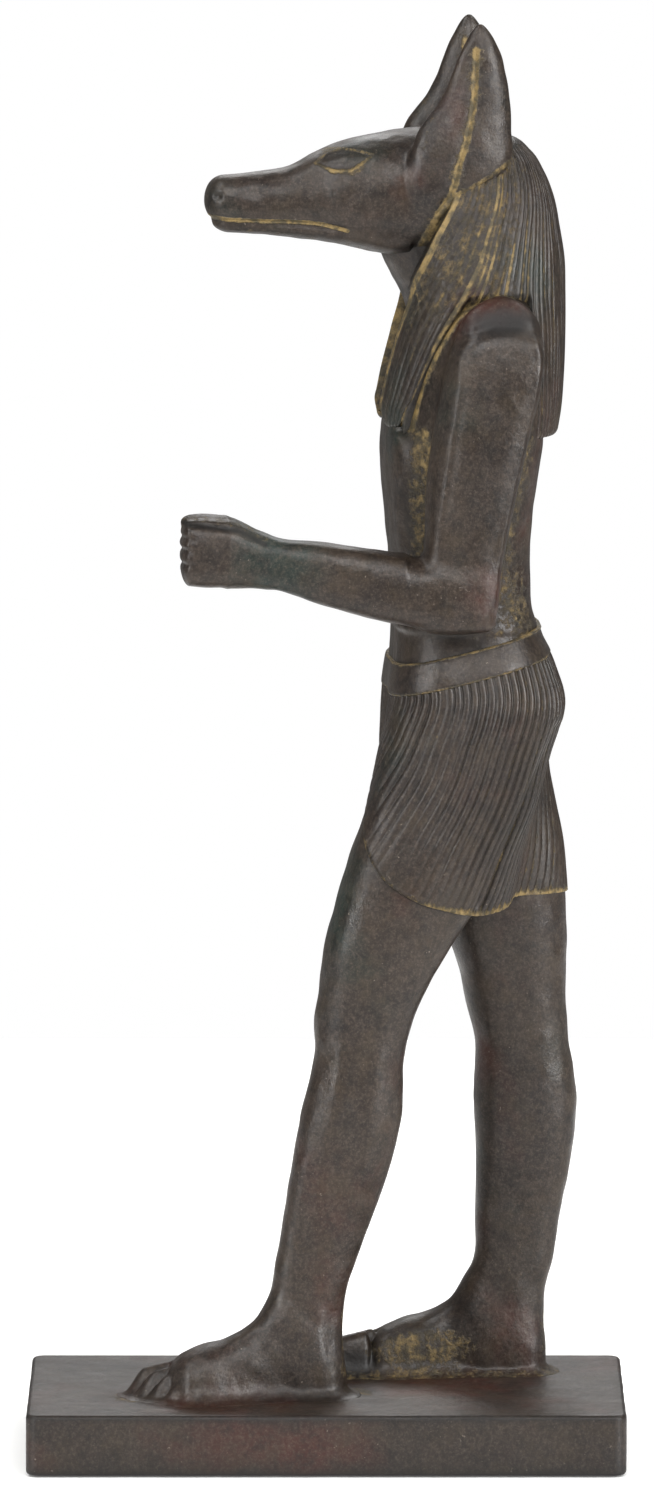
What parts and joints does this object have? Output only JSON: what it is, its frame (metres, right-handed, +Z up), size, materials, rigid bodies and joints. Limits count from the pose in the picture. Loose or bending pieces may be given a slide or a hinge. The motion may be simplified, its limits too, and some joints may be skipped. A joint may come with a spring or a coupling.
{
  "type": "standing jackal-headed statuette",
  "caption": "Small standing figure of a striding jackal-headed god in wig and pleated kilt, one fist held out, cast in one with its flat plinth",
  "frame": {"origin": "middle of the plinth's underside", "axes": "+Z up; the figure looks along -Y and its left side is towards +X"},
  "size_m": [0.042, 0.0752, 0.1802],
  "materials": {
    "statuette": "dark brown bronze patina over filled casting resin, satin, with ochre wax left in the creases"
  },
  "bodies": {
    "root": {"statuette": "statuette"}
  },
  "joints": []
}
